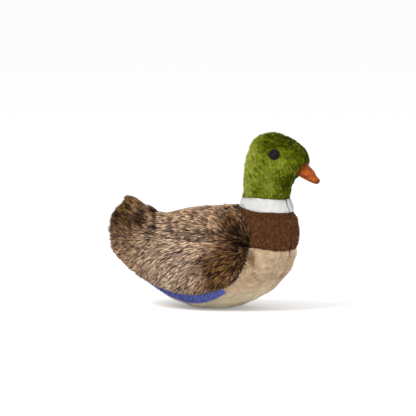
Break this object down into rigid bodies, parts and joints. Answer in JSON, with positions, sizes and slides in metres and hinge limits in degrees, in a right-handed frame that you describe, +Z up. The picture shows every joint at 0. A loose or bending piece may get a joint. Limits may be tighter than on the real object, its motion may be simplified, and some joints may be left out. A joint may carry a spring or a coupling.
{
  "type": "stuffed plush duck",
  "caption": "Sewn plush mallard: green head, white collar, brown chest, cream belly, long pile back and tail, lifting flap wings with blue bands, stuffed beak and a squeaker inside.",
  "frame": {"origin": "middle line of the flat patch that the belly rests on, beside the belly's centre seam", "axes": "+Z up, +X from the tail towards the beak, +Y to the duck's left"},
  "size_m": [0.2196, 0.1076, 0.1781],
  "materials": {
    "green_velour": "matte",
    "white_velour": "matte",
    "brown_velour": "matte",
    "cream_velour": "matte",
    "long_pile_fur": "matte",
    "blue_velour": "matte",
    "tan_lining": "matte",
    "orange_suede": "matte",
    "black_thread": "matte",
    "white_filling": "matte",
    "squeaker_vinyl": "matte",
    "squeaker_plastic": "matte"
  },
  "bodies": {
    "body": {"head_left": "green_velour", "head_right": "green_velour", "collar_left": "white_velour", "collar_right": "white_velour", "chest_left": "brown_velour", "chest_right": "brown_velour", "belly_left": "cream_velour", "belly_right": "cream_velour", "back_left": "long_pile_fur", "back_right": "long_pile_fur", "tail_left": "long_pile_fur", "tail_right": "long_pile_fur", "beak_upper": "orange_suede", "beak_lower": "orange_suede", "eye_left": "black_thread", "eye_right": "black_thread", "head_filling": "white_filling", "body_filling_upper": "white_filling", "body_filling_lower": "white_filling", "beak_filling": "white_filling", "squeaker_bellows": "squeaker_vinyl"},
    "left_wing": {"wing_lining_left": "tan_lining", "wing_batting_left": "white_filling", "wing_fur_left": "long_pile_fur", "wing_band_left": "blue_velour"},
    "right_wing": {"wing_lining_right": "tan_lining", "wing_batting_right": "white_filling", "wing_fur_right": "long_pile_fur", "wing_band_right": "blue_velour"},
    "squeaker_top": {"squeaker_cap": "squeaker_plastic", "squeaker_reed": "squeaker_plastic"}
  },
  "joints": [
    {"name": "left_wing_lift", "type": "hinge", "parent": "body", "child": "left_wing", "pos_m": [0.0084, 0.04356, 0.06915], "axis": [0.9969, 0.0467, -0.0637], "range_deg": [0, 70]},
    {"name": "right_wing_lift", "type": "hinge", "parent": "body", "child": "right_wing", "pos_m": [0.0084, -0.04356, 0.06915], "axis": [-0.9969, 0.0467, 0.0637], "range_deg": [0, 70]},
    {"name": "squeaker_squeeze", "type": "slide", "parent": "body", "child": "squeaker_top", "axis": [0, 0, -1], "range_m": [0, 0.007], "stiffness_N_per_m": 300, "deforming": ["squeaker_bellows"]}
  ]
}
